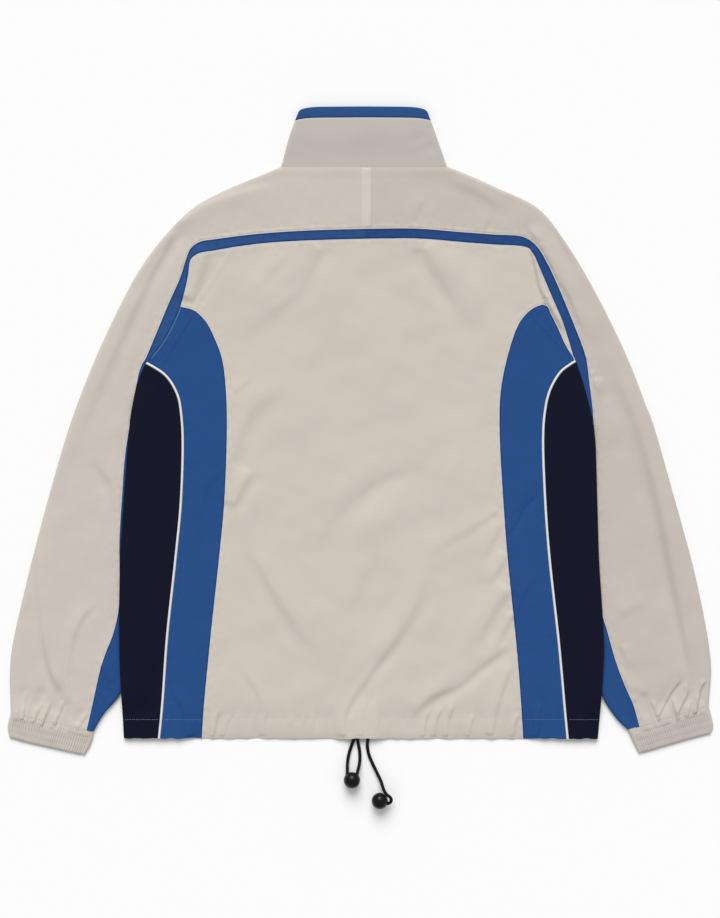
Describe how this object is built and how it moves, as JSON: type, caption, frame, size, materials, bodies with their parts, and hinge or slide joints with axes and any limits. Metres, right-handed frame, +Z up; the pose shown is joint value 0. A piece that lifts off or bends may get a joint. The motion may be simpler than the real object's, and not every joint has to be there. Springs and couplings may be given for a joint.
{
  "type": "track jacket",
  "caption": "Stand-collar track jacket laid flat, back up: contrast side panels, piping, raglan-style sleeves with elastic cuffs, front zip and hem drawcord.",
  "frame": {"origin": "centre of the footprint of the jacket without its drawcord ends, on the surface that it lies on", "axes": "+X to the picture's right, +Y from the hem to the collar, +Z up out of the back"},
  "size_m": [0.8612, 0.8566, 0.02],
  "materials": {
    "beige": "woven, matt, light beige",
    "blue": "woven, matt, royal blue",
    "navy": "woven, matt, near-black navy",
    "piping": "off-white corded edging",
    "cord": "black round cord",
    "ball": "black moulded plastic",
    "zip": "closed zip tape and teeth, beige",
    "metal": "plain metal"
  },
  "bodies": {
    "jacket": {"back_panel": "beige", "back_strip": "beige", "yoke_sleeve_left": "beige", "yoke_sleeve_right": "beige", "stripe_left": "blue", "stripe_right": "blue", "side_back_left": "blue", "side_back_right": "blue", "side_panel_left": "navy", "side_panel_right": "navy", "piping_left": "piping", "piping_right": "piping", "under_sleeve_left": "blue", "under_sleeve_right": "blue", "front_left": "beige", "front_right": "beige", "sleeve_front_left": "beige", "sleeve_front_right": "beige", "collar": "beige", "collar_band": "blue", "cuff_left": "beige", "cuff_right": "beige", "zip": "zip", "zip_slider": "metal", "cord_left": "cord", "cord_right": "cord", "ball_left": "ball", "ball_right": "ball"},
    "pull": {"zip_pull": "metal"}
  },
  "joints": [
    {"name": "zip_pull_hinge", "type": "hinge", "parent": "jacket", "child": "pull", "pos_m": [0.00494, 0.38047, 0.0019], "axis": [1, 0, 0], "range_deg": [0, 170]}
  ]
}
